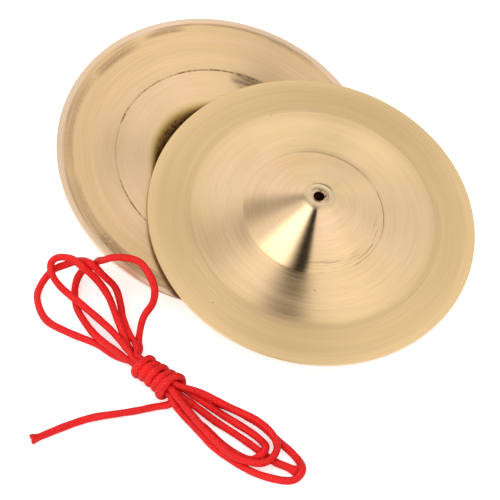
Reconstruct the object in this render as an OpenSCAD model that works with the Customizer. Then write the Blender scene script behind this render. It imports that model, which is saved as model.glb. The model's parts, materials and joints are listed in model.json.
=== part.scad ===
// A pair of finger cymbals and the hank of cord that they are strung with.
//
// Each cymbal is one disc of spun brass sheet: a bowed plate, a conical boss and a cord hole.
// The pair lies one against the other, hollow faces together: the rear cymbal stands on the tip
// of its boss and on its rim, and the front cymbal leans on it. The cord is one length, tied in
// a hank: three loops above the knot, three loops below it, a hidden start and a loose tail.
//
// Units are millimetres. +Z is up and +Y points away from the viewer. The origin is the centre
// of the rear cymbal's cord hole, at its outer mouth.

/* [Cymbals] */
// Diameter of each cymbal
cymbal_d = 90; // [89:0.5:91]
// Thickness of the brass sheet
sheet_t = 0.6; // [0.5:0.05:0.6]
// Diameter of the conical boss at its foot
boss_d = 37.8; // [36:0.2:39]
// Height of the boss above its foot
boss_h = 8.1; // [8:0.05:8.3]
// Diameter of the flat on top of the boss
tip_d = 7.2; // [6.8:0.2:7.6]
// Radius of the rounded edge of that flat
tip_round = 1.5; // [1:0.1:1.8]
// Diameter of the faint lathe ring, where the plate's slope changes
ring_d = 68; // [64:1:72]
// Drop of the plate from the boss's foot to the lathe ring
inner_drop = 0.8; // [0.75:0.05:0.9]
// Drop of the plate from the lathe ring to the rim
outer_drop = 1.7; // [1.65:0.05:1.8]
// Diameter of the cord hole
hole_d = 3; // [2.6:0.1:3.2]

/* [Resting places] */
// Direction of the rear cymbal's low side, in degrees from +X
rear_low_side = -29.1; // [-30:0.1:-28]
// Direction of the front cymbal's low side, in degrees from +X
front_low_side = -22.6; // [-23:0.1:-22]
// Lean of the front cymbal, in degrees
front_lean = 8.3; // [8.3:0.05:8.6]
// Place of the front cymbal's axis across the table, at its cord hole
front_x = 28.9; // [28.7:0.1:29.1]
// Place of the front cymbal's axis away from the viewer, at its cord hole
front_y = -18.4; // [-18.6:0.1:-18.2]

/* [Cord] */
// Diameter of the cord
cord_d = 1.86; // [1.6:0.02:1.88]
// Facets round the cord
cord_sides = 8; // [6:1:10]
// Steps along the cord between two of the points it passes through
cord_steps = 4; // [3:1:5]

/* [Knot] */
// Place of the knot's middle across the table
knot_x = -14.2; // [-14.3:0.1:-14.1]
// Place of the knot's middle away from the viewer
knot_y = -65.3; // [-65.4:0.1:-65.2]
// Direction of the knot from its upper loops to its lower loops, in degrees from +X
knot_turn = -42.6; // [-43:0.1:-42]
// Length of the bundle of strands that the binding grips
knot_len = 12.4; // [12.2:0.1:12.6]
// Diameter of the cord where the binding squeezes it
squeezed_d = 1.2; // [1.1:0.02:1.24]
// Diameter of the cord in the turns of the binding
binding_d = 1.56; // [1.4:0.02:1.6]

/* [Hidden] */
$fn = 96;

rim_r = cymbal_d / 2;
foot_r = boss_d / 2;
flat_r = tip_d / 2;
foot_drop = boss_h;
ring_drop = foot_drop + inner_drop;
rim_drop = ring_drop + outer_drop;

// The cone runs from the foot of the boss, tangent to the round of its tip.
cone_run = foot_r - flat_r;
cone_rise = foot_drop - tip_round;
cone_slope = atan2(cone_rise, cone_run) + asin(tip_round / norm([cone_run, cone_rise]));

// The rear cymbal touches the table with its rim and with the round of its tip.
lean_run = rim_r - flat_r;
lean_rise = rim_drop - tip_round;
rear_lean = atan2(lean_rise, lean_run) + asin(tip_round / norm([lean_run, lean_rise]));
table_z = -flat_r * sin(rear_lean) + tip_round * cos(rear_lean) - tip_round;
front_z = table_z + rim_r * sin(front_lean) + (rim_drop + sheet_t) * cos(front_lean);

cord_r = cord_d / 2;
squeezed_r = squeezed_d / 2;
binding_r = binding_d / 2;
// Air left between the strands, and between the strands and the binding.
strand_gap = 0.1;
// Air left between the knot's end and the loops, so that they can turn, and the loops'
// straight length past it.
joint_gap = 0.5;
straight_len = 0.6;
// Past its straight start the cord swells to its full size over this many spans.
ease_spans = 3;
// Six strands lie round a seventh in the binding, and spread a little in its wide last turn.
hex_r = squeezed_d + strand_gap;
spread_r = hex_r + 0.5;
spread_strand_r = squeezed_r + 0.2;
// The binding is a coil of even turns, and then one wider turn of unsqueezed cord, the collar.
binding_turns = 4;
turn_gap = 0.4;
coil_r = hex_r + squeezed_r + strand_gap + binding_r;
coil_pitch = binding_d + turn_gap;
collar_r = coil_r + 0.9;
collar_x = knot_len / 2 - cord_r;
coil_x = collar_x - cord_r - binding_r - 0.15;
// The knot rests on its collar, so its upper end is tipped down to meet the table.
knot_pitch = 4.4;
collar_lift = collar_r + cord_r - 0.35;
knot_middle = [knot_x, knot_y, table_z + collar_lift];

// ---- small functions ----

function unit(v) = v / norm(v);
function mix(a, b, t) = a + (b - a) * t;
function smooth(t) = let (s = max(0, min(1, t))) s * s * (3 - 2 * s);

// A point of a curve that passes through b at t = 0 and c at t = 1.
function bend(a, b, c, d, t) =
    0.5 * (2 * b + (c - a) * t + (2 * a - 5 * b + 4 * c - d) * t * t
        + (3 * b - a - 3 * c + d) * t * t * t);

// The smooth open curve through all the points.
function curve(p, steps) =
    let (n = len(p) - 1)
    [for (i = [0 : n - 1], j = [0 : steps - 1])
        bend(p[max(i - 1, 0)], p[i], p[i + 1], p[min(i + 2, n)], j / steps), p[n]];

// Direction of a curve at its point i.
function heading(p, i) = unit(p[min(i + 1, len(p) - 1)] - p[max(i - 1, 0)]);

// From the knot's own frame to the table's: x runs along the knot, z away from the table.
function from_knot(v) =
    let (
        x = v.x * cos(knot_pitch) - v.z * sin(knot_pitch),
        z = v.x * sin(knot_pitch) + v.z * cos(knot_pitch)
    )
    knot_middle + [
        x * cos(knot_turn) - v.y * sin(knot_turn),
        x * sin(knot_turn) + v.y * cos(knot_turn),
        z
    ];

// A strand's place in the knot. Place 0 is the middle one, and the others go round it.
function in_bundle(place, x, r) =
    place == 0 ? [x, 0, 0] : [x, r * cos(60 * (place - 1)), r * sin(60 * (place - 1))];

// The straight start of a strand outside the knot, at its upper end and at its lower end.
function upper_end(place) = [for (out = [joint_gap, joint_gap + straight_len])
    from_knot(in_bundle(place, -knot_len / 2 - out, hex_r))];
function lower_end(place) = [for (out = [joint_gap, joint_gap + straight_len])
    from_knot(in_bundle(place, knot_len / 2 + out, spread_r))];

// A point given from under the knot's middle: along the knot, to its side, above the table.
function by_knot(along, aside, height) = [
    knot_x + along * cos(knot_turn) - aside * sin(knot_turn),
    knot_y + along * sin(knot_turn) + aside * cos(knot_turn),
    height
];
function back(p) = [for (i = [len(p) - 1 : -1 : 0]) p[i]];
function on_table(p) = [for (v = p) v + [0, 0, table_z]];

// ---- the cord ----

// A closed tube along a curve: the cord at its full radius, eased to its two end radii.
module cord(path, first_r, last_r) {
    last = len(path) - 1;
    ease = ease_spans * cord_steps;
    points = [for (i = [0 : last])
        let (
            ahead = heading(path, i),
            side = unit(cross(ahead, [0, 0, 1])),
            up = cross(side, ahead),
            r = mix(first_r, cord_r, smooth((i - cord_steps) / ease))
                + mix(last_r, cord_r, smooth((last - i - cord_steps) / ease)) - cord_r
        )
        for (k = [0 : cord_sides - 1])
            path[i] + r * (side * cos(360 * k / cord_sides) + up * sin(360 * k / cord_sides))
    ];
    tube(points, last + 1, cord_sides);
}

// The closed skin over rings of points, with flat ends.
module tube(points, rings, sides) {
    walls = [for (i = [0 : rings - 2], k = [0 : sides - 1])
        let (a = i * sides + k, b = i * sides + (k + 1) % sides)
        each [[a, b, a + sides], [b, b + sides, a + sides]]];
    first_end = [for (k = [sides - 1 : -1 : 0]) k];
    last_end = [for (k = [0 : sides - 1]) (rings - 1) * sides + k];
    polyhedron(points = points, faces = concat(walls, [first_end, last_end]), convexity = 6);
}

// ---- cymbals ----

// One cymbal, boss up, with the origin at the outer mouth of its cord hole.
module cymbal() {
    round_steps = 6;
    outside = concat(
        [[hole_d / 2, 0]],
        [for (i = [0 : round_steps])
            let (a = cone_slope * i / round_steps)
            [flat_r + tip_round * sin(a), tip_round * cos(a) - tip_round]],
        [[foot_r, -foot_drop], [ring_d / 2, -ring_drop], [rim_r, -rim_drop]]
    );
    inside = [for (p = outside) p - [0, sheet_t]];
    rotate_extrude() polygon(concat(outside, back(inside)));
}

module rear_cymbal() {
    color("burlywood")
        rotate([0, 0, rear_low_side]) rotate([0, rear_lean, 0]) rotate([180, 0, 0]) cymbal();
}

module front_cymbal() {
    color("burlywood")
        translate([front_x, front_y, front_z])
            rotate([0, 0, front_low_side]) rotate([0, front_lean, 0]) cymbal();
}

// ---- the knot ----

// The seven strands that the binding grips.
module knot_strands() {
    color("crimson")
        for (place = [0 : 6])
            strand(place);
}

module strand(place) {
    half = knot_len / 2;
    path = curve([
        from_knot(in_bundle(place, -half, hex_r)),
        from_knot(in_bundle(place, 0, hex_r)),
        from_knot(in_bundle(place, coil_x, hex_r)),
        from_knot(in_bundle(place, half, spread_r))
    ], 2);
    last = len(path) - 1;
    points = [for (i = [0 : last], k = [0 : cord_sides - 1])
        let (
            ahead = heading(path, i),
            side = unit(cross(ahead, [0, 0, 1])),
            up = cross(side, ahead),
            r = mix(squeezed_r, spread_strand_r, smooth((i - 4) / (last - 4)))
        )
        path[i] + r * (side * cos(360 * k / cord_sides) + up * sin(360 * k / cord_sides))];
    tube(points, last + 1, cord_sides);
}

// The turns of the binding: a coil that opens into one wider, thicker turn at its lower end.
module knot_binding() {
    turn_steps = 18;
    steps = turn_steps * (binding_turns + 1);
    start_angle = -30;
    wide_stretch = 0.12;
    points = [for (i = [0 : steps])
        let (
            turn = i / turn_steps,
            past_coil = turn - binding_turns + 0.5,
            wide = smooth(past_coil),
            angle = start_angle - 360 * turn,
            r = mix(coil_r, collar_r, wide),
            cr = mix(binding_r, cord_r, wide),
            x = coil_x + coil_pitch * past_coil * (1 + wide_stretch * wide)
        )
        for (k = [0 : cord_sides - 1])
            let (a = -360 * (k + 0.5) / cord_sides, out = r + cr * cos(a))
            from_knot([x + cr * sin(a), out * cos(angle), out * sin(angle)])
    ];
    color("crimson") tube(points, steps + 1, cord_sides);
}

// ---- the loops and the ends ----

// A loop from one strand of the knot's upper end round to another.
module loop_above(from_place, to_place, through) {
    color("red")
        cord(curve(concat(upper_end(from_place), on_table(through), back(upper_end(to_place))),
            cord_steps), squeezed_r, squeezed_r);
}

// A loop from one strand of the knot's lower end round to another.
module loop_below(from_place, to_place, through) {
    color("red")
        cord(curve(concat(lower_end(from_place), on_table(through), back(lower_end(to_place))),
            cord_steps), spread_strand_r, spread_strand_r);
}

// Each loop is the row of points that it passes through, [across, away, above the table].
module left_loop() {
    loop_above(0, 2, [
        by_knot(-8.6, -0.8, 2.3), by_knot(-11, -1.3, 1.5), by_knot(-13.4, -1.8, 1.1),
        [-30, -54.2, 1], [-37.5, -50.7, 1], [-43.5, -46.9, 1], [-46.2, -41, 1],
        [-45.7, -37.4, 2.2], [-42.5, -33.8, 4.6], [-38.7, -33.1, 6.6], [-34.8, -33.3, 8.9],
        [-31.4, -35.8, 11.2], [-28.2, -37.7, 8.4], [-25.3, -39.1, 4.8], [-24, -42.3, 2.4],
        [-22.9, -47.9, 2.5],
        by_knot(-13.4, 4.5, 3), by_knot(-11, 3.8, 3.9), by_knot(-8.6, 2.4, 4.8)
    ]);
}

module middle_loop() {
    loop_above(3, 6, [
        by_knot(-8.6, -0.1, 5.5), by_knot(-11, 0.4, 5.4), by_knot(-13.4, 1.1, 5),
        [-27.2, -50.3, 3.6], [-35, -42.6, 3.2], [-39.5, -39.1, 4.4],
        [-42, -36.4, 6.8], [-42.4, -33.4, 8], [-40.1, -32.4, 9.2], [-36.6, -33.7, 10.3],
        [-33.5, -36.8, 11.1], [-29.9, -38.6, 7.6], [-27, -41.7, 4.5], [-24.8, -47.5, 4.5],
        by_knot(-13.4, 2.7, 3.9), by_knot(-11, 1.7, 3.2), by_knot(-8.6, 1.2, 2.8)
    ]);
}

module right_loop() {
    loop_above(1, 4, [
        by_knot(-8.6, 3.5, 2.9), by_knot(-11, 5.4, 2.6),
        [-17.4, -49.8, 6.8], [-14.9, -46.6, 9], [-14.3, -44.6, 12.9],
        [-15.7, -41.8, 15.6], [-18.4, -38, 15.6], [-22, -37, 16], [-25.4, -36.9, 15.9],
        [-28.1, -36.3, 13.7], [-29.6, -34.6, 10.7], [-30.9, -33.8, 7.5],
        [-32.4, -33.1, 5.2], [-33.9, -32.8, 4], [-35.8, -34.5, 2], [-36.4, -38.3, 1],
        [-35.5, -43.3, 1], [-32.9, -48.1, 1.1], [-29.7, -52.9, 2.5],
        by_knot(-13.4, -1.7, 4), by_knot(-11, -1.6, 4.2), by_knot(-8.6, -1.6, 4.3)
    ]);
}

module top_low_loop() {
    loop_below(2, 3, [
        by_knot(9.6, 2.2, 5.7), by_knot(12.9, 4, 4.9), [5.7, -74.4, 3], [12.3, -77.9, 3],
        [15.9, -81.5, 3], [17.4, -85.3, 3], [16.2, -88.4, 3], [13.6, -90, 3],
        [9.7, -89.4, 3], [5.9, -87.7, 3], [2.2, -84.3, 3.2], [-1.4, -80.5, 4],
        by_knot(14.7, -2, 5), by_knot(10, -1.4, 5.8)
    ]);
}

module inner_low_loop() {
    loop_below(1, 6, [
        by_knot(9.6, 2.4, 3.8), by_knot(13.8, 3.3, 2.7), [3.2, -75.2, 1.2], [7.7, -78.2, 1],
        [11.3, -80.8, 1], [13.7, -83.4, 1.6], [14.5, -85.8, 3.1], [13.4, -87.6, 2.9],
        [10.5, -88, 1], [6.4, -86, 1], [2.6, -82.8, 1],
        [-1.1, -79, 1], by_knot(14, -1.3, 1), by_knot(9.6, 0, 1.6)
    ]);
}

// Its second end rises into the binding's wide turn, at the knot's far side.
module long_low_loop() {
    through = [
        by_knot(9.6, -2.5, 3.9), [-7.3, -75.3, 2.8], [-1.9, -80.9, 1.4], [1.9, -85, 1],
        [7.1, -89, 1], [12.3, -92.3, 1.6], [18.6, -94.8, 3], [21.9, -94.5, 3.1],
        [23.6, -91.9, 3], [22.9, -88.6, 1.2], [20.7, -85.7, 1], [17.3, -82.4, 1],
        [12.9, -78, 1], [5.9, -73.6, 1], [-1, -70.8, 1],
        by_knot(10.2, 4.3, 1), by_knot(8.4, 3.6, 1.1), by_knot(7.3, 3.1, 1.7)
    ];
    color("red")
        cord(curve(concat(lower_end(4), on_table(through)), cord_steps),
            spread_strand_r, binding_r);
}

module cord_start() {
    color("red")
        cord(curve(concat(lower_end(0), on_table([
            by_knot(9.6, 0.3, 3.9), by_knot(12, 1, 2.6), [-1.3, -74.8, 1.2], [1.7, -77.2, 1],
            [6.6, -80.7, 1], [10.4, -83.6, 1], [16.4, -88.4, 1], [19.9, -90.1, 1], [22.3, -91.6, 1]
        ])), cord_steps), spread_strand_r, cord_r);
}

module cord_tail() {
    color("red")
        cord(curve(concat(lower_end(5), on_table([
            by_knot(8.3, -2.4, 1.9), [-11.8, -72.6, 1], [-15, -73.2, 1], [-18.6, -74.1, 1],
            [-23.2, -74.9, 1], [-30.3, -76.2, 1], [-37.1, -78.8, 1], [-44.9, -82.5, 1]
        ])), cord_steps), spread_strand_r, cord_r);
}

rear_cymbal();
front_cymbal();
knot_strands();
knot_binding();
left_loop();
middle_loop();
right_loop();
top_low_loop();
inner_low_loop();
long_low_loop();
cord_start();
cord_tail();
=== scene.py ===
"""A pair of spun brass finger cymbals and their hank of red satin cord.

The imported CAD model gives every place: the cymbals' axes come from the cord holes in the record,
and the cord's centre lines are read back from the rings of its CAD solids. Over those this script
turns fine lathe meshes for the brass and braids the cord.

CAD lengths are metres. Lengths named _MM are millimetres, and MM turns them into metres.
"""

import json
import math

import bpy
import numpy as np
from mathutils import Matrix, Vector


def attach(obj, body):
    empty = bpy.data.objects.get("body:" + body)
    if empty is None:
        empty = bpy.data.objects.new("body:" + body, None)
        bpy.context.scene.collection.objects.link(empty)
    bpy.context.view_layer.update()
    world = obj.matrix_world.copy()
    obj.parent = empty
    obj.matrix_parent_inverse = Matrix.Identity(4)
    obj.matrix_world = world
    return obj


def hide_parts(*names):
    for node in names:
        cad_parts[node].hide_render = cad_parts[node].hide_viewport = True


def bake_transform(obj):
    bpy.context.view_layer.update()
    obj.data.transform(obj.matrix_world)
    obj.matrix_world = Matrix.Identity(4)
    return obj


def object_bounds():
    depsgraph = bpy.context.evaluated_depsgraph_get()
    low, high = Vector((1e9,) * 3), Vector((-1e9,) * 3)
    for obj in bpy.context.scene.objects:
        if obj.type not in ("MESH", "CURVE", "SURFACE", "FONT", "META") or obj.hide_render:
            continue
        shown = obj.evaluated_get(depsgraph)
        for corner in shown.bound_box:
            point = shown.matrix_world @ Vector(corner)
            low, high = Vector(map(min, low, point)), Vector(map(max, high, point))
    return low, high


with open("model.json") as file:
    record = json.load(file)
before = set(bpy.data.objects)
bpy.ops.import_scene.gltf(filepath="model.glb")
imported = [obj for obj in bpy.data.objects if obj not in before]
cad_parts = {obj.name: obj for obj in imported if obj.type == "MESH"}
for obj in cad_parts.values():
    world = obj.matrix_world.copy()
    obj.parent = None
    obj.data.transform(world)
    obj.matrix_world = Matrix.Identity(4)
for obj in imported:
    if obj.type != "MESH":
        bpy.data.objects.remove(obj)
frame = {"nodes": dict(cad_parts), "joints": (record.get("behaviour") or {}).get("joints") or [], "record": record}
cad_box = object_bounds()

MM = 0.001
UP = np.array([0.0, 0.0, 1.0])
mounts = {m["name"]: m for m in frame["record"]["mounts"]}


# ---- small helpers ----


def unit(v):
    return v / np.linalg.norm(v)


def smooth(t):
    """0 up to t = 0, 1 from t = 1, and an even curve between."""
    t = np.clip(t, 0, 1)
    return t * t * (3 - 2 * t)


def bell(values, middle, width):
    return np.exp(-(((values - middle) / width) ** 2))


def blur(values, sigma):
    """values along a line, evened out by a bell of sigma samples; the two ends stay."""
    reach = int(math.ceil(3 * sigma))
    weights = np.exp(-0.5 * (np.arange(-reach, reach + 1) / sigma) ** 2)
    weights /= weights.sum()
    values = np.asarray(values, float)
    columns = values.reshape(len(values), -1)
    before = 2 * columns[:1] - columns[reach:0:-1]
    after = 2 * columns[-1:] - columns[-2 : -reach - 2 : -1]
    padded = np.concatenate([before, columns, after])
    evened = [np.convolve(column, weights, "valid") for column in padded.T]
    return np.stack(evened, 1).reshape(values.shape)


def path_lengths(line):
    """How far along the line each of its points lies."""
    return np.concatenate([[0], np.cumsum(np.linalg.norm(np.diff(line, axis=0), axis=1))])


def node_points(name):
    mesh = frame["nodes"][name].data
    co = np.empty(len(mesh.vertices) * 3)
    mesh.vertices.foreach_get("co", co)
    return co.reshape(-1, 3)


def new_mesh(name, points, faces, smooth_shaded=True):
    mesh = bpy.data.meshes.new(name)
    mesh.from_pydata(np.asarray(points).tolist(), [], faces)
    mesh.validate()
    mesh.polygons.foreach_set("use_smooth", [smooth_shaded] * len(mesh.polygons))
    piece = bpy.data.objects.new(name, mesh)
    bpy.context.scene.collection.objects.link(piece)
    return piece


def point_attribute(piece, name, values):
    """Stores a number or a vector for each of the piece's points."""
    kind, key = ("FLOAT_VECTOR", "vector") if np.ndim(values) == 2 else ("FLOAT", "value")
    layer = piece.data.attributes.new(name, kind, "POINT")
    layer.data.foreach_set(key, np.asarray(values, np.float32).ravel())


# ---- node graphs ----


class Graph:
    """Builds a node tree; an input may be a socket, a node, a number or a tuple."""

    def __init__(self, tree):
        self.tree = tree
        tree.nodes.clear()

    def node(self, kind, inputs=(), **settings):
        made = self.tree.nodes.new(kind)
        for key, value in settings.items():
            setattr(made, key, value)
        for key, value in dict(inputs).items():
            self.feed(made.inputs[key], value)
        return made

    def feed(self, socket, value):
        if isinstance(value, bpy.types.NodeSocket):
            self.tree.links.new(value, socket)
        elif isinstance(value, bpy.types.Node):
            self.tree.links.new(value.outputs[0], socket)
        else:
            socket.default_value = value

    def attribute(self, name, output):
        return self.node("ShaderNodeAttribute", attribute_name=name).outputs[output]

    def math(self, operation, *values):
        return self.node("ShaderNodeMath", enumerate(values), operation=operation).outputs[0]

    def times(self, *values):
        product = values[0]
        for value in values[1:]:
            product = self.math("MULTIPLY", product, value)
        return product

    def strongest(self, *values):
        top = values[0]
        for value in values[1:]:
            top = self.math("MAXIMUM", top, value)
        return top

    def length(self, vector):
        return self.node("ShaderNodeVectorMath", {0: vector}, operation="LENGTH").outputs["Value"]

    def dot(self, a, b):
        return self.node("ShaderNodeVectorMath", {0: a, 1: b}, operation="DOT_PRODUCT").outputs["Value"]

    def scaled(self, vector, factor):
        inputs = {0: vector, "Scale": factor}
        return self.node("ShaderNodeVectorMath", inputs, operation="SCALE").outputs["Vector"]

    def join(self, x, y, z=0.0):
        return self.node("ShaderNodeCombineXYZ", {0: x, 1: y, 2: z}).outputs[0]

    def split(self, vector):
        """The vector's x and y."""
        made = self.node("ShaderNodeSeparateXYZ", {0: vector})
        return made.outputs[0], made.outputs[1]

    def ramp(self, value, low, high, start=0.0, end=1.0):
        """start below low, end above high, and an even curve between."""
        inputs = {"Value": value, "From Min": low, "From Max": high, "To Min": start, "To Max": end}
        return self.node("ShaderNodeMapRange", inputs, interpolation_type="SMOOTHSTEP").outputs[0]

    def band(self, value, middle, half, soft):
        """1 within half of middle, fading to 0 over soft."""
        away = self.math("ABSOLUTE", self.math("SUBTRACT", value, middle))
        return self.ramp(away, half, half + soft, 1.0, 0.0)

    def mix(self, amount, a, b):
        made = self.node("ShaderNodeMix", data_type="RGBA")
        # Only the node's last pair of inputs and its third output carry colours.
        for index, value in ((0, amount), (6, a), (7, b)):
            self.feed(made.inputs[index], value)
        return made.outputs[2]

    def noise(self, vector, scale, detail, roughness=0.5):
        inputs = {"Vector": vector, "Scale": scale, "Detail": detail, "Roughness": roughness}
        return self.node("ShaderNodeTexNoise", inputs).outputs[0]

    def bump(self, height_mm):
        return self.node("ShaderNodeBump", {"Height": height_mm, "Strength": 0.6, "Distance": MM})


def rgb(red, green, blue):
    """A colour given as a screen's 0 to 255 values, made linear."""
    def linear(c):
        c /= 255
        return c / 12.92 if c <= 0.04045 else ((c + 0.055) / 1.055) ** 2.4
    return (linear(red), linear(green), linear(blue), 1.0)


def new_material(name):
    material = bpy.data.materials.new(name)
    material.use_nodes = True
    graph = Graph(material.node_tree)
    shader = graph.node("ShaderNodeBsdfPrincipled")
    graph.node("ShaderNodeOutputMaterial", {"Surface": shader})
    return material, graph, shader


def set_inputs(graph, shader, **values):
    """Feeds the shader's inputs; a name's underscores stand for spaces."""
    for name, value in values.items():
        graph.feed(shader.inputs[name.replace("_", " ")], value)


# ---- brass ----

# The disc's section. Radii are from its axis, and drops are down from the hole's mouth.
SHEET_MM = 0.6
HOLE_R_MM = 1.5
TIP_R_MM = 3.6
TIP_ROUND_MM = 1.5
FOOT_R_MM, FOOT_DROP_MM = 18.9, 8.1
RING_R_MM, RING_DROP_MM = 34.0, 9.15
RIM_R_MM, RIM_DROP_MM = 45.0, 10.6
PLATE_CURVE = 1.75
BOSS_BULGE_MM = 0.2
# On the inside the lathe left a line round the plate, and a paler band at the rim.
LINE_R_MM = 28.8
BAND_R_MM = 43.2

# Rings pressed into each side: radius, width and depth in millimetres.
OUTSIDE_GROOVES = (
    (HOLE_R_MM, 0.45, 0.16), (FOOT_R_MM + 0.4, 0.35, 0.035),
    (RING_R_MM - 1.5, 0.3, 0.008), (RING_R_MM, 0.4, 0.01), (RING_R_MM + 1.6, 0.3, 0.008),
)
INSIDE_GROOVES = ((LINE_R_MM, 0.16, 0.05), (BAND_R_MM, 0.14, 0.05))
# The punch drew the metal down a little on the inside of the hole.
PUNCH_WIDTH_MM, PUNCH_DRAW_MM = 0.5, 1.1

# How far each edge is eased, and where one easing passes to the next: from which radius, over how far.
TIP_EASE_MM, FOOT_EASE_MM, INSIDE_FOOT_EASE_MM, PLATE_EASE_MM = 0.45, 0.9, 1.1, 3.8
TO_FOOT_MM, TO_INSIDE_FOOT_MM, TO_PLATE_MM = (10, 5), (12, 3), (26, 6)

LATHE_TURNS = 360
LATHE_STEP_MM = 0.12
LIP_MM = 0.15
LIP_POINTS = 7
MAP_SPAN_MM = 100

GOLD, ROSY_GOLD = rgb(241, 206, 156), rgb(244, 208, 166)
INSIDE_PLATE, INSIDE_ROSE, INSIDE_BAND = rgb(239, 202, 152), rgb(243, 203, 164), rgb(244, 214, 184)
# Painted shade up the boss's hollow: dim at its foot, mottled dark brown within, red-brown at the hole's wall.
HOLLOW_SHADE_EDGE, HOLLOW_SHADE_DARK, HOLLOW_SHADE_LIGHT = rgb(196, 164, 96), rgb(92, 62, 34), rgb(146, 110, 66)
HOLLOW_SHADE_BOTTOM, HOLE_WALL_SHADE = rgb(124, 76, 42), rgb(116, 52, 26)
OUTSIDE_PLATE, OUTSIDE_RIM, OUTSIDE_TIP = rgb(233, 199, 148), rgb(243, 209, 156), rgb(228, 200, 160)
INSIDE_DIRT, OUTSIDE_DIRT = rgb(120, 88, 60), rgb(104, 78, 50)

# Past the lathe ring the brush marks change: each pair is the value inside it and outside it.
RING_CHANGE_MM = (31.0, 37.0)
INSIDE_ROUGHNESS, INSIDE_BRUSHED = (0.30, 0.36), (1.0, 0.72)
OUTSIDE_ROUGHNESS, OUTSIDE_BRUSHED = (0.19, 0.40), (0.97, 0.45)

BRUSH_DEPTH_MM, STREAK_DEPTH_MM, PIT_DEPTH_MM = 0.0035, 0.006, 0.05
PITS_PER_MM = 0.13
DIRT_ROUGHENS = 0.25

# Smudges inside the rear cymbal: the way each lies from the axis and how far round it spreads, in
# degrees, its radius and half width in millimetres, and its strength.
SMUDGES = (
    (-113, 10, 41.9, 0.3, 0.6), (-137, 14, 41.1, 0.6, 0.55), (-172, 30, 41.8, 0.7, 0.42),
    (152, 18, 41.4, 0.7, 0.5), (126, 22, 41.6, 0.9, 0.75), (-62, 14, 42.9, 0.2, 0.6),
    (-72, 14, 27.4, 1.0, 0.75), (-68, 12, 26.4, 1.6, 0.45),
)


class SpunSurface:
    """Where a point lies on a spun disc, and the patterns that its finish is made of."""

    def __init__(self, g):
        self.g = g
        self.place = g.attribute("lathe", "Vector")
        x, y = g.split(self.place)
        self.r = g.math("MAXIMUM", g.length(g.join(x, y)), HOLE_R_MM / 3)
        self.turn_x, self.turn_y = g.math("DIVIDE", x, self.r), g.math("DIVIDE", y, self.r)
        self.broad = self.streaks(0.30, 0.8, 3.0)
        self.streak = self.streaks(1.5, 1.1, 17.0, 4.0)
        self.fine = self.streaks(6.0, 1.9, 41.0, 4.0)
        self.hair = self.streaks(5.0, 2.2, 83.0, 4.0)
        self.cluster = self.streaks(0.12, 2.3, 57.0, 1.5)
        self.mottle = g.noise(self.place, 0.05, 3.0)
        self.speck = g.noise(self.place, 1.3, 4.0, 0.65)

    def streaks(self, per_mm, per_turn, seed, detail=3.0):
        """Noise drawn out along the lathe's circles."""
        g = self.g
        at = g.join(g.math("MULTIPLY_ADD", self.r, per_mm, seed),
                    g.math("MULTIPLY", self.turn_x, per_turn), g.math("MULTIPLY", self.turn_y, per_turn))
        return g.noise(at, 1.0, detail, 0.6)

    def towards(self, x, y):
        """How far a point lies towards (x, y) from the axis."""
        return self.g.dot(self.g.join(self.turn_x, self.turn_y), (x, y, 0.0))

    def ring(self, r_mm, half_mm, soft_mm):
        return self.g.band(self.r, r_mm, half_mm, soft_mm)

    def within(self, r_mm, soft_mm):
        """1 up to r_mm, fading to 0 over soft_mm."""
        return self.g.ramp(self.r, r_mm, r_mm + soft_mm, 1.0, 0.0)


def inside_colour(g, spun, gold):
    """Gold with rosier rings, a paler band at the rim, and painted shade: dull brown up the boss's hollow."""
    colour = g.mix(g.ramp(spun.r, RING_R_MM - 8.0, RING_R_MM + 4.0), gold, INSIDE_PLATE)
    colour = g.mix(g.ramp(spun.broad, 0.42, 0.66, 0.0, 0.5), colour, INSIDE_ROSE)
    past_band = g.math("SUBTRACT", spun.r, BAND_R_MM + 1.2)
    wavy = g.math("MULTIPLY_ADD", spun.mottle, 2.4, past_band)
    colour = g.mix(g.ramp(wavy, -0.7, 0.6, 0.0, 0.85), colour, INSIDE_BAND)
    # Painted shade: the boss's hollow darkens to mottled brown towards the hole, its wall darker still.
    colour = g.mix(g.ramp(spun.r, FOOT_R_MM + 1.2, FOOT_R_MM - 1.4), colour, HOLLOW_SHADE_EDGE)
    hollow = g.mix(g.ramp(spun.speck, 0.4, 0.6), HOLLOW_SHADE_DARK, HOLLOW_SHADE_LIGHT)
    colour = g.mix(g.ramp(spun.r, FOOT_R_MM - 0.4, FOOT_R_MM - 2.4), colour, hollow)
    colour = g.mix(spun.within(HOLE_R_MM + 1.0, 3.5), colour, HOLLOW_SHADE_BOTTOM)
    return g.mix(spun.within(HOLE_R_MM + 0.1, 0.4), colour, HOLE_WALL_SHADE)


def outside_colour(g, spun, gold):
    """Gold that is darker past the lathe ring, lighter at the rim and paler on the tip."""
    colour = g.mix(g.ramp(spun.r, RING_R_MM - 5.5, RING_R_MM + 2.5), gold, OUTSIDE_PLATE)
    colour = g.mix(g.ramp(spun.r, RIM_R_MM - 4.5, RIM_R_MM - 1.0), colour, OUTSIDE_RIM)
    return g.mix(spun.within(TIP_R_MM + 0.6, 0.6), colour, OUTSIDE_TIP)


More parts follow.
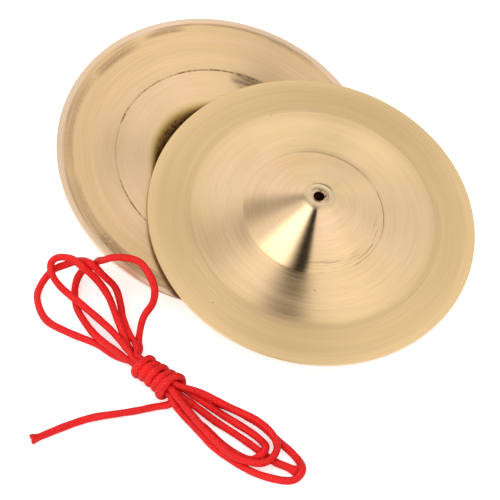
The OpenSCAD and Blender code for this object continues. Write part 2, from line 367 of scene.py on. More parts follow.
def inside_dirt(g, spun):
    """What the polishing left: the spun line, the rim band's edge and a few smudges."""
    line = g.times(spun.ring(LINE_R_MM, 0.10, 0.28), g.ramp(spun.cluster, 0.38, 0.64, 0.22, 0.85),
                   g.ramp(spun.speck, 0.36, 0.58, 0.3, 1.0))
    edge = g.times(spun.ring(BAND_R_MM - 0.2, 0.10, 0.5), g.ramp(spun.cluster, 0.36, 0.6), 0.4)
    dirt = g.strongest(line, edge)
    grain = g.math("MULTIPLY_ADD", spun.speck, 0.35, g.math("MULTIPLY_ADD", spun.streak, 0.5, spun.hair))
    broken = g.ramp(grain, 0.72, 1.12, 0.15, 1.0)
    for degrees, spread, r_mm, half_mm, strength in SMUDGES:
        angle = math.radians(degrees)
        towards = spun.towards(math.cos(angle), math.sin(angle))
        patch = g.ramp(towards, math.cos(math.radians(spread)), math.cos(math.radians(spread / 3)))
        smudge = g.times(patch, spun.ring(r_mm, half_mm, half_mm + 0.5), broken, strength)
        dirt = g.strongest(dirt, smudge)
    return dirt


def outside_dirt(g, spun):
    """The line round the boss's foot, hairs below it, the lathe ring and the worn edge of the hole."""
    upper_right = g.ramp(spun.towards(1.0, 0.25), -0.5, 0.5, 0.05, 1.0)
    line = g.times(spun.ring(FOOT_R_MM + 0.2, 0.03, 0.25), g.ramp(spun.cluster, 0.40, 0.56, 0.1, 0.75),
                   upper_right, g.ramp(spun.hair, 0.40, 0.56, 0.2, 1.0))
    lower_right = g.ramp(spun.towards(0.64, -0.77), 0.5, 0.85)
    hairs = g.times(spun.ring(FOOT_R_MM - 1.6, 0.8, 0.7), g.ramp(spun.hair, 0.52, 0.66), lower_right, 0.6)
    ring = g.times(spun.ring(RING_R_MM + 0.3, 0.3, 1.1), g.ramp(spun.fine, 0.4, 0.7, 0.02, 0.22))
    hatch = g.noise(spun.place, 3.4, 3.0, 0.65)
    worn = g.times(spun.ring(HOLE_R_MM + 0.65, 0.35, 0.7), g.ramp(hatch, 0.49, 0.54),
                   g.ramp(spun.towards(1.0, 1.0), -0.5, 0.5), 0.95)
    return g.strongest(line, hairs, ring, worn)


def brass(name, colour_of, dirt_of, dirt_colour, roughness, brushed):
    """Spun brass: brushed round and round, so that light spreads along the radius."""
    material, g, shader = new_material(name)
    spun = SpunSurface(g)
    gold = g.mix(g.ramp(spun.mottle, 0.35, 0.65), GOLD, ROSY_GOLD)
    shade = g.times(g.ramp(spun.streak, 0.3, 0.7, 0.965, 1.02), g.ramp(spun.fine, 0.3, 0.7, 0.96, 1.025),
                    g.ramp(spun.broad, 0.3, 0.7, 0.96, 1.02))
    colour = g.scaled(colour_of(g, spun, gold), shade)
    pits = g.node("ShaderNodeTexVoronoi", {"Vector": spun.place, "Scale": PITS_PER_MM})
    pit = g.ramp(pits.outputs["Distance"], 0.012, 0.035, 0.75, 0.0)
    dirt = g.strongest(dirt_of(g, spun), pit)

    rough = g.math("ADD", g.ramp(spun.streak, 0.3, 0.7, -0.02, 0.02),
                   g.ramp(spun.r, *RING_CHANGE_MM, *roughness))
    off_tip = g.ramp(spun.r, TIP_R_MM + 0.3, TIP_R_MM + 1.2, 0.1, 1.0)
    height = g.math("ADD", g.times(spun.streaks(11.0, 2.5, 71.0), BRUSH_DEPTH_MM),
                    g.times(spun.streak, STREAK_DEPTH_MM))
    height = g.math("SUBTRACT", height, g.times(pit, PIT_DEPTH_MM))
    set_inputs(
        g, shader, Metallic=1.0,
        Base_Color=g.mix(dirt, colour, dirt_colour),
        Roughness=g.math("MULTIPLY_ADD", dirt, DIRT_ROUGHENS, rough),
        Anisotropic=g.times(off_tip, g.ramp(spun.r, *RING_CHANGE_MM, *brushed)),
        Tangent=g.node("ShaderNodeTangent", direction_type="UV_MAP", uv_map="spun"),
        Normal=g.bump(height))
    return material


def cymbal_frame(node, mount):
    """The cymbal's axes: columns are two across it and one out of its boss; then its hole's mouth."""
    axis = unit(np.array(mounts[mount]["axis"], float))
    pos = np.array(mounts[mount]["pos_m"], float)
    reach = (node_points(node) @ axis).max()
    across = unit(np.array([1.0, 0, 0]) - axis[0] * axis)
    return np.stack([across, np.cross(axis, across), axis], 1), pos + axis * (reach - pos @ axis)


def outside_drop(r):
    """How far below the hole's mouth the outer skin lies at radius r, before any edge is eased."""
    rise, run = FOOT_DROP_MM - TIP_ROUND_MM, FOOT_R_MM - TIP_R_MM
    slope = math.atan2(rise, run) + math.asin(TIP_ROUND_MM / math.hypot(rise, run))
    round_end = TIP_R_MM + TIP_ROUND_MM * math.sin(slope)
    round_drop = TIP_ROUND_MM * (1 - math.cos(slope))
    on_round = np.clip((r - TIP_R_MM) / TIP_ROUND_MM, 0, math.sin(slope))
    tip = TIP_ROUND_MM * (1 - np.sqrt(1 - on_round ** 2))
    straight = np.interp(r, [round_end, FOOT_R_MM, RING_R_MM, RIM_R_MM],
                         [round_drop, FOOT_DROP_MM, RING_DROP_MM, RIM_DROP_MM])
    # The boss bulges a little, and the plate leaves its foot steeper than it meets the ring.
    up_boss = np.clip((r - round_end) / (FOOT_R_MM - round_end), 0, 1)
    boss = straight - BOSS_BULGE_MM * np.sin(np.pi * up_boss)
    share = np.clip((r - FOOT_R_MM) / (RING_R_MM - FOOT_R_MM), 0, 1)
    plate = FOOT_DROP_MM + (RING_DROP_MM - FOOT_DROP_MM) * (1 - (1 - share) ** PLATE_CURVE)
    drop = np.where((r > FOOT_R_MM) & (r < RING_R_MM), plate, boss)
    return np.where(r < round_end, tip, drop)


def section():
    """The disc's section as one closed outline: its radii and heights, and the number of its first
    point on the inside. It runs out over the outside, round the lip and back along the inside."""
    r = np.arange(HOLE_R_MM, RIM_R_MM - LIP_MM, LATHE_STEP_MM)
    beyond = r[-1] + LATHE_STEP_MM * np.arange(1, 60)
    drop = outside_drop(np.concatenate([r, beyond]))

    def eased(sigma_mm):
        return blur(drop, sigma_mm / LATHE_STEP_MM)[: len(r)]

    def passing(start, end, where):
        from_mm, over_mm = where
        return start + (end - start) * smooth((r - from_mm) / over_mm)

    # Outside, the tip is crisp, the boss's foot rounder and the plate soft. Inside, the foot is
    # rounder still.
    boss = passing(eased(TIP_EASE_MM), eased(FOOT_EASE_MM), TO_FOOT_MM)
    inside_boss = passing(boss, eased(INSIDE_FOOT_EASE_MM), TO_INSIDE_FOOT_MM)
    out_z = -passing(boss, eased(PLATE_EASE_MM), TO_PLATE_MM)
    in_z = -passing(inside_boss, eased(PLATE_EASE_MM), TO_PLATE_MM) - SHEET_MM
    for middle, width, depth in OUTSIDE_GROOVES:
        out_z -= depth * bell(r, middle, width)
    for middle, width, depth in INSIDE_GROOVES:
        in_z += depth * bell(r, middle, width)
    in_z -= PUNCH_DRAW_MM * bell(r, HOLE_R_MM, PUNCH_WIDTH_MM)

    lip = np.radians(np.linspace(90, -90, LIP_POINTS + 2)[1:-1])
    lip_r = r[-1] + SHEET_MM / 4 * np.cos(lip)
    lip_z = (out_z[-1] + in_z[-1]) / 2 + SHEET_MM / 2 * np.sin(lip)
    return (np.concatenate([r, lip_r, r[::-1]]), np.concatenate([out_z, lip_z, in_z[::-1]]),
            len(r) + LIP_POINTS // 2)


def map_radius(piece, profile_r, profile_z):
    """A map whose first direction runs along the section, across the brush marks."""
    count = len(profile_r)
    along = np.concatenate([[0], np.cumsum(np.hypot(np.diff(profile_r), np.diff(profile_z)))])
    corner = np.empty(len(piece.data.loops), int)
    piece.data.loops.foreach_get("vertex_index", corner)
    column, turn = corner % count, corner // count
    face = np.repeat(np.arange(LATHE_TURNS * count), 4)
    # The last turn's faces, and each turn's last face, go on to where the map began.
    wraps = (face // count == LATHE_TURNS - 1) & (turn == 0)
    closes = (face % count == count - 1) & (column == 0)
    u = (along[column] + closes * (along[-1] + SHEET_MM)) / MAP_SPAN_MM
    v = (turn + wraps * LATHE_TURNS) / LATHE_TURNS
    layer = piece.data.uv_layers.new(name="spun")
    layer.data.foreach_set("uv", np.stack([u, v], 1).astype(np.float32).ravel())


def cymbal(name, node, mount, body):
    profile_r, profile_z, first_inside = section()
    count = len(profile_r)
    angle = 2 * np.pi * np.arange(LATHE_TURNS) / LATHE_TURNS
    local = np.stack([
        np.outer(np.cos(angle), profile_r), np.outer(np.sin(angle), profile_r),
        np.outer(np.ones(LATHE_TURNS), profile_z)], 2).reshape(-1, 3)
    axes, mouth = cymbal_frame(node, mount)
    here = np.arange(LATHE_TURNS * count).reshape(LATHE_TURNS, count)
    next_turn = np.roll(here, -1, 0)
    corners = [here, np.roll(here, -1, 1), np.roll(next_turn, -1, 1), next_turn]
    faces = np.stack(corners, 2).reshape(-1, 4)
    piece = new_mesh(name, mouth + local * MM @ axes.T, faces.tolist())
    point_attribute(piece, "lathe", local)
    map_radius(piece, profile_r, profile_z)
    piece.data.materials.append(BRASS_OUT)
    piece.data.materials.append(BRASS_IN)
    is_inside = np.arange(len(faces)) % count >= first_inside
    piece.data.polygons.foreach_set("material_index", is_inside.astype(np.int32))
    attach(piece, body)
    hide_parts(node)


BRASS_OUT = brass("brass_outside", outside_colour, outside_dirt, OUTSIDE_DIRT, OUTSIDE_ROUGHNESS,
                  OUTSIDE_BRUSHED)
BRASS_IN = brass("brass_inside", inside_colour, inside_dirt, INSIDE_DIRT, INSIDE_ROUGHNESS,
                 INSIDE_BRUSHED)
cymbal("rear_cymbal_disc", "rear_cymbal", "rear_cord_hole", "rear")
cymbal("front_cymbal_disc", "front_cymbal", "front_cord_hole", "front")


# ---- cord ----

# The cord's radius where it is free and where the knot squeezes it, as shown and in the CAD.
CORD_R_MM, SQUEEZED_R_MM = 0.97, 0.80
CAD_CORD_R_MM, CAD_SQUEEZED_R_MM = 0.93, 0.60
CAD_CORD_SIDES = 8
CORD_SIDES = 48
STRAND_SIDES = 24
CORD_STEP_MM = 0.18
CORD_EASE_MM = 0.45
TAIL_EASE_MM = 1.0
BRAID_YARNS = 8
BRAID_PITCH_MM = 0.95
BRAID_RELIEF_MM = 0.045
UNDER_YARN = 0.35
THREADS_PER_YARN = 5
THREAD_DEPTH_MM, FLECK_DEPTH_MM = 0.006, 0.03
FRAY_MM = 3.0
# Each end closes over smaller rings: a ring's share of the cord's radius, and how far out it stands
# in millimetres. The ends in the knot are hollow, which can't be seen.
END_RINGS = ((0.8, 0.10), (0.55, 0.02), (0.28, -0.12))
HIDDEN_END_TIMES = -3.0
CUT_RELIEF, HIDDEN_RELIEF = 0.25, 0.5

# The cord's red, with painted shade for the braid's gaps and sides, and a painted highlight for the yarns' tops.
CORD_GAP_SHADE, CORD_MID, CORD_LIT = rgb(216, 3, 13), rgb(238, 8, 18), rgb(255, 66, 54)
CORD_SIDE_SHADE, CORD_SHEEN = rgb(172, 0, 10), rgb(255, 120, 110)


def satin(name):
    """Satin cord: a braid of shiny yarns, each a bundle of fine threads."""
    material, g, shader = new_material(name)
    around, along = g.split(g.attribute("along_cord", "Vector"))
    relief = g.attribute("relief", "Fac")
    on_top = g.attribute("family", "Fac")
    spin = g.math("MULTIPLY", around, float(BRAID_YARNS))
    climb = g.math("DIVIDE", along, BRAID_PITCH_MM)
    across_yarn = g.math("ADD", g.times(g.math("ADD", spin, climb), on_top),
                         g.times(g.math("SUBTRACT", spin, climb), g.math("SUBTRACT", 1.0, on_top)))
    threads = g.math("SINE", g.math("MULTIPLY", across_yarn, 2 * math.pi * THREADS_PER_YARN))
    patches = g.noise(g.node("ShaderNodeNewGeometry").outputs["Position"], 160.0, 3.0)
    flecks = g.noise(g.join(g.math("MULTIPLY", around, 9.0), g.math("MULTIPLY", along, 2.2)), 1.0, 3.0)

    # Painted shade where the braid's yarns dip into its gaps, and painted highlights flecked along their tops.
    colour = g.mix(g.ramp(relief, 0.0, 0.5), CORD_GAP_SHADE, CORD_MID)
    shine = g.times(g.ramp(relief, 0.3, 1.0), g.ramp(flecks, 0.35, 0.65, 0.0, 0.9))
    colour = g.scaled(g.mix(shine, colour, CORD_LIT), g.ramp(patches, 0.3, 0.7, 0.93, 1.06))
    # Painted shade on the cord's sides: where it is seen along its surface, its red is darkened.
    facing = g.node("ShaderNodeLayerWeight", {"Blend": 0.5}).outputs["Facing"]
    height = g.math("ADD", g.times(threads, THREAD_DEPTH_MM), g.times(flecks, FLECK_DEPTH_MM))
    set_inputs(
        g, shader, Specular_IOR_Level=0.25, Sheen_Weight=0.03, Sheen_Roughness=0.45,
        Sheen_Tint=CORD_SHEEN,
        Base_Color=g.mix(g.ramp(facing, 0.25, 0.95, 0.0, 0.75), colour, CORD_SIDE_SHADE),
        Roughness=g.ramp(flecks, 0.3, 0.7, 0.42, 0.56),
        Normal=g.bump(height))
    return material


def welded(node):
    """The node's points with doubles merged, and its triangles as numbers of those points."""
    raw = node_points(node)
    same_within = 2e-7
    keys = np.round(raw / same_within).astype(np.int64)
    _, first, merged = np.unique(keys, axis=0, return_index=True, return_inverse=True)
    merged = merged.reshape(-1)
    faces = np.array([merged[list(p.vertices)] for p in frame["nodes"][node].data.polygons])
    return raw[first], faces


def linked(start, allowed, near):
    """start, and the allowed points that edges between allowed points lead to."""
    found = {start}
    while True:
        more = {w for v in found for w in near[v] if w in allowed} | found
        if more == found:
            return found
        found = more


def end_ring(start, points, faces, near):
    """The corners of the flat end face that start is a corner of, or None."""
    across, flat_within = 2.6 * MM, 3e-6
    away = points - points[start]
    close = np.linalg.norm(away, axis=1) < across
    for p, q, s in points[faces[(faces == start).any(1)]]:
        normal = unit(np.cross(q - p, s - p))
        flat = np.abs(away @ normal) < flat_within
        ring = linked(start, set(np.flatnonzero(close & flat).tolist()), near)
        if len(ring) == CAD_CORD_SIDES:
            return ring
    return None


def tube_lines(node):
    """The centre line and the radius of each tube of a CAD cord node, read from its rings."""
    points, faces = welded(node)
    near = [set() for _ in points]
    for tri in faces:
        for i in range(3):
            near[tri[i]].update((tri[i - 1], tri[i - 2]))
    done, tubes = set(), []
    for start in range(len(points)):
        # Only a corner of an end face can have four neighbours.
        if start in done or len(near[start]) != 4:
            continue
        ring = end_ring(start, points, faces, near)
        middles, radii, seen = [], [], set()
        while ring:
            corners = points[sorted(ring)]
            middles.append(corners.mean(0))
            radii.append(np.linalg.norm(corners - middles[-1], axis=1).mean())
            seen |= ring
            ring = {w for v in ring for w in near[v]} - seen
        done |= seen
        if seen:
            tubes.append((np.array(middles), np.array(radii)))
    return tubes


def resample(line, radii, step):
    """The line as a smooth curve at even steps, with its radii and its lengths."""
    at = path_lengths(line)
    slope = np.gradient(line, at, axis=0)
    count = max(int(round(at[-1] / step)), 4)
    s = np.linspace(0, at[-1], count + 1)
    i = np.clip(np.searchsorted(at, s, "right") - 1, 0, len(at) - 2)
    gap = (at[i + 1] - at[i])[:, None]
    t = (s - at[i])[:, None] / gap
    leave, arrive = (t ** 3 - 2 * t ** 2 + t) * gap, (t ** 3 - t ** 2) * gap
    passed = 3 * t ** 2 - 2 * t ** 3
    points = (1 - passed) * line[i] + passed * line[i + 1] + leave * slope[i] + arrive * slope[i + 1]
    return points, np.interp(s, at, radii), s


def visual_radius(cad_radius):
    share = (cad_radius / MM - CAD_SQUEEZED_R_MM) / (CAD_CORD_R_MM - CAD_SQUEEZED_R_MM)
    return (SQUEEZED_R_MM + (CORD_R_MM - SQUEEZED_R_MM) * share) * MM


def braid(around, along):
    """Height of the braid, 0 to 1, and which of its two families of yarns lies on top."""
    one = BRAID_YARNS * around + along / BRAID_PITCH_MM
    other = BRAID_YARNS * around - along / BRAID_PITCH_MM
    x, y = one - np.floor(one), other - np.floor(other)
    on_top = (np.floor(one) + np.floor(other)) % 2 == 0

    def hump(t):
        return np.sin(np.pi * t) ** 0.7

    def over(t, crossing):
        return hump(t) * (0.6 + 0.4 * np.sin(np.pi * crossing))

    first = np.where(on_top, over(x, y), UNDER_YARN * hump(x))
    second = np.where(on_top, UNDER_YARN * hump(y), over(y, x))
    return np.maximum(first, second), on_top.astype(float)


def across_line(points, ahead, toward):
    """A direction across the cord at each point: toward's, or one that is carried along untwisted."""
    if toward is None:
        side = np.empty_like(points)
        side[0] = unit(np.cross(ahead[0], UP))
        for i in range(1, len(points)):
            side[i] = unit(side[i - 1] - (side[i - 1] @ ahead[i]) * ahead[i])
        return side
    side = toward(points)
    side -= (side * ahead).sum(1)[:, None] * ahead
    return side / np.linalg.norm(side, axis=1)[:, None]


def bridge(ring, next_ring):
    """The faces between two rings of point numbers, or between rows of rings."""
    corners = [ring, np.roll(ring, -1, -1), np.roll(next_ring, -1, -1), next_ring]
    return np.stack(corners, -1).reshape(-1, 4).tolist()


def end_circle(ring, middle, outwards, angle, share, stands_out, is_cut):
    """A smaller ring that an end closes over, rough if the end is a cut."""
    level = stands_out * (1.0 if is_cut else HIDDEN_END_TIMES)
    rough = 0.1 * np.sin(5 * angle + 9 * share) * is_cut
    return middle + (ring - middle) * share + ((level + rough) * MM)[:, None] * outwards


def cord_mesh(name, line, radii, toward=None, flat=1.0, seed=0.0, cut=False, sides=CORD_SIDES,
              ease_mm=CORD_EASE_MM):
    """A braided cord along a line. toward, if given, is a direction for each point in which the
    cord is flattened. With cut, its last end is a frayed one. ease_mm evens out its bends."""
    points, r, s = resample(line, radii, CORD_STEP_MM * MM)
    points = blur(points, ease_mm / CORD_STEP_MM)
    ahead = np.gradient(points, axis=0)
    ahead /= np.linalg.norm(ahead, axis=1)[:, None]
    side = across_line(points, ahead, toward)
    up = np.cross(ahead, side)
    along, around = s / MM, np.arange(sides) / sides
    angle = 2 * np.pi * around
    height, family = braid(around[None], along[:, None])
    # A handled cord is never quite round: it is fuller here and thinner there.
    uneven = 1 + 0.025 * np.sin(along * 0.61 + seed) + 0.018 * np.sin(along * 1.37 + 2.1 * seed)
    oval = 0.035 * np.cos(2 * angle[None] + 0.23 * along[:, None] + seed)
    ring_r = r[:, None] * uneven[:, None] * (1 + oval) + (height - 0.5) * BRAID_RELIEF_MM * MM
    if cut:
        # The frayed end is thicker, so the cord rises to stay on the table.
        open_up = smooth(1 - (along[-1] - along) / FRAY_MM) ** 1.6
        points += (0.5 * open_up * r)[:, None] * UP
        ragged = 1 + 0.16 * np.sin(5 * angle + 1.0) + 0.1 * np.sin(11 * angle + 0.4)
        ring_r = ring_r * (1 + 0.42 * open_up[:, None] * ragged[None])
    ring = (points[:, None] + (ring_r * np.cos(angle))[..., None] * side[:, None] * flat
            + (ring_r * np.sin(angle))[..., None] * up[:, None] / flat)
    if cut:
        jag = 0.16 * np.sin(7 * angle + 0.5) + 0.12 * np.sin(13 * angle + 1.7)
        ring[-1] += (jag * MM)[:, None] * ahead[-1]

    rings = len(points)
    place = np.zeros((rings, sides, 3))
    place[..., 0], place[..., 1] = around, along[:, None]
    all_points, places = [ring.reshape(-1, 3)], [place.reshape(-1, 3)]
    heights, families = [height.ravel()], [family.ravel()]
    numbers = np.arange(rings * sides).reshape(rings, sides)
    faces = bridge(numbers[:-1], numbers[1:])
    total = numbers.size
    for end, outward in ((0, -1), (-1, 1)):
        is_cut = cut and end == -1
        last_ring = numbers[end]
        for share, stands_out in END_RINGS:
            all_points.append(end_circle(ring[end], points[end], outward * ahead[end], angle, share,
                                         stands_out, is_cut))
            places.append(np.stack([around, np.full(sides, along[end] + 1 - share), 0 * around], 1))
            heights.append(np.full(sides, CUT_RELIEF if is_cut else HIDDEN_RELIEF))
            families.append(np.zeros(sides))
            next_ring = np.arange(total, total + sides)
            total += sides
            faces += [quad[::outward] for quad in bridge(last_ring, next_ring)]
            last_ring = next_ring
        faces.append(last_ring[::outward].tolist())
    piece = new_mesh(name, np.concatenate(all_points), faces)
    point_attribute(piece, "along_cord", np.concatenate(places))
    point_attribute(piece, "relief", np.concatenate(heights))
    point_attribute(piece, "family", np.concatenate(families))
    piece.data.materials.append(SATIN)
    return piece


SATIN = satin("satin_cord")

# The knot's own frame, from its strands: its axis runs from the upper loops to the lower loops.
strands = tube_lines("knot_strands")
coil_line, coil_radii = tube_lines("knot_binding")[0]
joint_points = {j["name"]: np.array(j["pos_m"]) for j in frame["joints"] if "pos_m" in j}
strand_middles = [line.mean(0) for line, _ in strands]
most_central = np.argmin(np.linalg.norm(strand_middles - np.mean(strand_middles, axis=0), axis=1))
knot_axis = unit(strands[most_central][0][-1] - strands[most_central][0][0])
if (joint_points["lower_loops_fold"] - joint_points["upper_loops_fold"]) @ knot_axis < 0:
    knot_axis = -knot_axis
knot_aside = unit(np.cross(UP, knot_axis))


def down_the_knot(line, radii):
    """The line and its radii, turned so that they run along the knot's axis."""
    return (line, radii) if (line[-1] - line[0]) @ knot_axis > 0 else (line[::-1], radii[::-1])


strands = [down_the_knot(*strand) for strand in strands]
coil_line, coil_radii = down_the_knot(coil_line, coil_radii)
knot_middle = np.mean([line.mean(0) for line, _ in strands], axis=0)

# The visual cord bends over a short stretch at the knot's edge where the CAD's turns on a point.
LEAD_INTO_KNOT_MM = 4.0
MEETS_WITHIN_MM = 1.2


def from_knot_axis(points):
    """Direction of each point straight out from the knot's axis."""
    out = points - knot_middle
    out = out - (out @ knot_axis)[:, None] * knot_axis
    return out / np.linalg.norm(out, axis=1)[:, None]


def into_knot(line, radii):
    """The line with its first point led on into the knot, along the strand that it meets."""
    ways = strands + [(strand[::-1], strand_radii[::-1]) for strand, strand_radii in strands]
    way, way_radii = min(ways, key=lambda candidate: np.linalg.norm(candidate[0][0] - line[0]))
    if np.linalg.norm(way[0] - line[0]) > MEETS_WITHIN_MM * MM:
        return line, radii
    lengths = path_lengths(way)
    depths = np.arange(LEAD_INTO_KNOT_MM, 0.2, -0.8) * MM
    inner = np.stack([np.interp(depths, lengths, way[:, c]) for c in range(3)], 1)
    return (np.concatenate([inner, line]),
            np.concatenate([np.interp(depths, lengths, way_radii), radii]))


def loop_piece(node, seed, cut=False, ease_mm=CORD_EASE_MM):
    """A stretch of cord outside the knot. With cut, its far end is free."""
    line, radii = tube_lines(node)[0]
    if cut and np.linalg.norm(line[0] - knot_middle) > np.linalg.norm(line[-1] - knot_middle):
        line, radii = line[::-1], radii[::-1]
    line, radii = into_knot(line, radii)
    if not cut:
        turned, turned_radii = into_knot(line[::-1], radii[::-1])
        line, radii = turned[::-1], turned_radii[::-1]
    piece = cord_mesh(node + "_cord", line, visual_radius(radii), seed=seed, cut=cut, ease_mm=ease_mm)
    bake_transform(piece)
    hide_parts(node)


for number, node in enumerate(("left_loop", "middle_loop", "right_loop")):
    loop_piece(node, 1.3 * number)
for number, node in enumerate(("top_low_loop", "inner_low_loop")):
    loop_piece(node, 5.0 + 1.3 * number)
loop_piece("cord_start", 9.1, cut=True)
loop_piece("cord_tail", 10.3, cut=True, ease_mm=TAIL_EASE_MM)

# The long loop's second end runs on into the binding's last turn.
line, radii = tube_lines("long_low_loop")[0]
if np.linalg.norm(line[0] - coil_line[-1]) < np.linalg.norm(line[-1] - coil_line[-1]):
    line, radii = line[::-1], radii[::-1]
line, radii = into_knot(line, radii)
lead = coil_line[-1:-6:-2]
line = np.concatenate([line, lead])
radii = np.concatenate([radii, np.full(len(lead), CAD_CORD_R_MM * MM)])
piece = cord_mesh("long_low_loop_cord", line, visual_radius(radii), seed=7.7)
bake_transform(piece)
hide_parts("long_low_loop")

# The binding's turns are pressed flat against the strands, each a little its own way. Its upper
# turns spread a little further up the loops than the CAD's.
BINDING_SWELL, COLLAR_SWELL = 1.28, 1.12
BINDING_FLAT = 0.9
KNUCKLE_SWELL, KNUCKLE_PINCH = 0.12, 0.20
UPPER_SPREAD_MM = 1.7
# The binding's last turn, its collar, is of unsqueezed cord, which is thicker than this.
COLLAR_OVER_R_MM = 0.85
CAD_POINTS_PER_TURN = 18.0
turn = np.arange(len(coil_line)) / CAD_POINTS_PER_TURN
wobble_out = 0.16 * np.sin(2.3 * turn + 0.8) + 0.10 * np.sin(5.1 * turn)
wobble_along = 0.12 * np.sin(3.7 * turn)
spread = np.linspace(1, 0, len(coil_line)) * UPPER_SPREAD_MM
coil_shown = (coil_line + from_knot_axis(coil_line) * (wobble_out * MM)[:, None]
              + knot_axis * ((wobble_along - spread) * MM)[:, None])
is_collar = coil_radii > COLLAR_OVER_R_MM * MM
swell = blur(np.where(is_collar, COLLAR_SWELL, BINDING_SWELL), 4.0)
# Each turn has a full knuckle on the viewer's side, pinched off from the rest of the turn.
to_viewer = from_knot_axis(coil_line) @ unit(UP - knot_aside)
knuckle = KNUCKLE_SWELL * smooth((to_viewer - 0.6) / 0.3)
swell = swell * (1 + knuckle - KNUCKLE_PINCH * bell(to_viewer, 0.42, 0.15))
binding = cord_mesh("binding_cord", coil_shown, coil_radii * swell, toward=from_knot_axis,
                    flat=BINDING_FLAT, seed=3.0)
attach(binding, "knot")
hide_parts("knot_binding")

STRAND_SHARE = 0.95
for number, (line, radii) in enumerate(strands):
    piece = cord_mesh(f"knot_strand_{number}", line, visual_radius(radii) * STRAND_SHARE,
                      seed=20.0 + number, sides=STRAND_SIDES)
    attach(piece, "knot")
    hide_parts("knot_strands")


# ---- floor, light and camera ----

FLOOR_HALF_M = 3.0
FLOOR_GLOW, FLOOR_GLOW_SEEN = 0.08, 0.4


def white_floor(z):
    """A pale floor. It glows a little to the camera, so that it joins the white background."""
    corners = [[x * FLOOR_HALF_M, y * FLOOR_HALF_M, z] for x, y in ((-1, -1), (1, -1), (1, 1), (-1, 1))]
    floor = new_mesh("floor", corners, [[0, 1, 2, 3]], smooth_shaded=False)
    material, g, shader = new_material("floor_white")
    position = g.node("ShaderNodeNewGeometry").outputs["Position"]
    seen = g.node("ShaderNodeLightPath").outputs["Is Camera Ray"]
    set_inputs(
        g, shader, Roughness=0.9, Specular_IOR_Level=0.1, Emission_Color=rgb(255, 255, 255),
        Base_Color=g.mix(g.noise(position, 30.0, 3.0), rgb(253, 253, 253), rgb(255, 255, 255)),
        Emission_Strength=g.math("MULTIPLY_ADD", seen, FLOOR_GLOW_SEEN, FLOOR_GLOW))
    floor.data.materials.append(material)


# The tent's panels meet at the direction that the camera would see in the front cymbal, if that were
# a flat mirror. It is given by its x and y. Bearings are in degrees about it, and reach is the
# distance from it in x and y.
MEETING = (0.27, 0.46)
NEAR_REACH, FAR_REACH = 0.2, 0.6
TENT_LEVEL = 0.97
# Each panel: its middle bearing, half width and soft edge, and the change that it makes.
RIGHT_PANEL = (5.0, 8.0, 35.0, -0.12)
LAMP = (-129.0, 5.0, 17.0, 1.0)
LOWER_PANEL = (-70.0, 10.0, 20.0, 0.12)
UPPER_SHADE = (78.0, 15.0, 38.0, -0.85)
UPPER_GLOW = (85.0, 20.0, 35.0, 0.30)
LEFT_SEAM_HALF, LEFT_SEAM_SOFT, LEFT_SEAM_CHANGE = 2.0, 22.0, -0.46
SLOT_CHANGE = -0.99
# The soft light for dull things: where it comes from, and its level from below and from there.
OVERHEAD_WAY = (-0.3, -0.2, 0.93)
OVERHEAD_LEVELS = (0.16, 1.29)


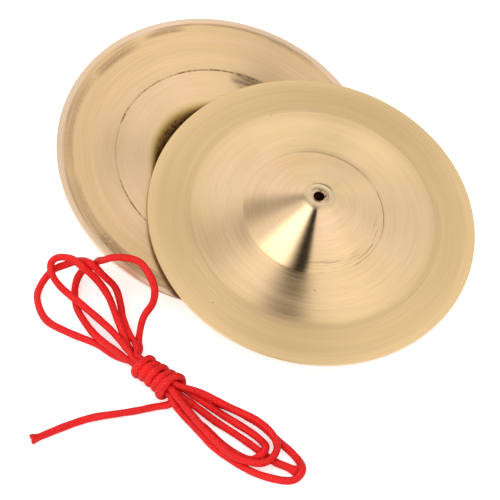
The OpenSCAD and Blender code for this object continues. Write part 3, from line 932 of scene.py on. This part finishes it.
def light_tent():
    """A white tent of a few panels lights the pair. The camera's slot between two of them makes the
    narrow dark streak down the cone and over the plate, a lamp glows behind the panel to its left,
    and the seam beyond that panel is dimmer."""
    world = bpy.data.worlds.new("tent")
    world.use_nodes = True
    g = Graph(world.node_tree)
    way = g.node("ShaderNodeTexCoord").outputs["Generated"]
    x, y = g.split(way)
    from_x, from_y = g.math("SUBTRACT", x, MEETING[0]), g.math("SUBTRACT", y, MEETING[1])
    bearing = g.math("DEGREES", g.math("ARCTAN2", from_y, from_x))
    reach = g.length(g.join(from_x, from_y))
    off_centre = g.ramp(reach, 0.01, 0.06)

    def outwards(near, far):
        """A bearing that turns from near to far with the reach."""
        return g.ramp(reach, NEAR_REACH, FAR_REACH, near, far)

    def change(share, amount):
        """A factor for the light: 1 + amount where share is 1, and 1 where it is 0."""
        return g.math("MULTIPLY_ADD", share, amount, 1.0)

    def panel(middle, half, soft, amount, grows=off_centre):
        return change(g.times(g.band(bearing, middle, half, soft), grows), amount)

    slot = g.times(g.ramp(bearing, outwards(-128.0, -118.5), outwards(-108.0, -105.5)),
                   g.ramp(bearing, outwards(-96.0, -99.5), outwards(-89.5, -93.5), 1.0, 0.0),
                   g.ramp(reach, 0.02, 0.10))
    # The left seam lies about the bearing 180, so there the bearings run on past -180.
    over = g.math("GREATER_THAN", bearing, 0.0)
    bearing_on = g.math("SUBTRACT", bearing, g.math("MULTIPLY", over, 360.0))
    seam = g.band(bearing_on, outwards(-161.0, -176.0), LEFT_SEAM_HALF, LEFT_SEAM_SOFT)
    tent = g.times(
        panel(*RIGHT_PANEL), change(slot, SLOT_CHANGE),
        change(g.times(seam, off_centre), LEFT_SEAM_CHANGE),
        panel(*LAMP, g.ramp(reach, 0.35, 0.85, 0.1, 1.15)), panel(*LOWER_PANEL),
        panel(*UPPER_SHADE, g.band(reach, 0.35, 0.04, 0.07)),
        panel(*UPPER_GLOW, g.band(reach, 0.15, 0.06, 0.08)), TENT_LEVEL)
    # What lights the dull cord and the floor is softer, and comes from above.
    overhead = g.ramp(g.dot(way, OVERHEAD_WAY), -0.1, 1.0, *OVERHEAD_LEVELS)
    for_dull = g.node("ShaderNodeLightPath").outputs["Is Diffuse Ray"]
    level = g.math("ADD", g.times(tent, g.math("SUBTRACT", 1.0, for_dull)), g.times(overhead, for_dull))
    background = g.node("ShaderNodeBackground", {"Color": rgb(255, 255, 255), "Strength": level})
    g.node("ShaderNodeOutputWorld", {"Surface": background})
    bpy.context.scene.world = world


CAMERA_ELEVATION = 56.67
CAMERA_DISTANCE_MM = 485.05
CAMERA_SENSOR, CAMERA_LENS = 36.0, 128.13
AIM_FROM_MIDDLE_MM = (-1.88, 2.24)


def place_camera(z):
    """The camera looks along +Y, down at a point on the floor near the object's middle."""
    middle = (cad_box[0] + cad_box[1]) / 2
    aim = np.array([middle.x + AIM_FROM_MIDDLE_MM[0] * MM, middle.y + AIM_FROM_MIDDLE_MM[1] * MM, z])
    elevation = math.radians(CAMERA_ELEVATION)
    back = np.array([0, -math.cos(elevation), math.sin(elevation)])
    camera = bpy.data.objects.new("camera", bpy.data.cameras.new("camera"))
    bpy.context.scene.collection.objects.link(camera)
    camera.data.sensor_width = CAMERA_SENSOR
    camera.data.lens = CAMERA_LENS
    camera.data.clip_start, camera.data.clip_end = 0.01, 20.0
    camera.location = aim + CAMERA_DISTANCE_MM * MM * back
    camera.rotation_euler = (math.pi / 2 - elevation, 0, 0)
    bpy.context.scene.camera = camera


floor_z = cad_box[0].z
white_floor(floor_z)
light_tent()
place_camera(floor_z)
bpy.context.scene.view_settings.view_transform = "Standard"
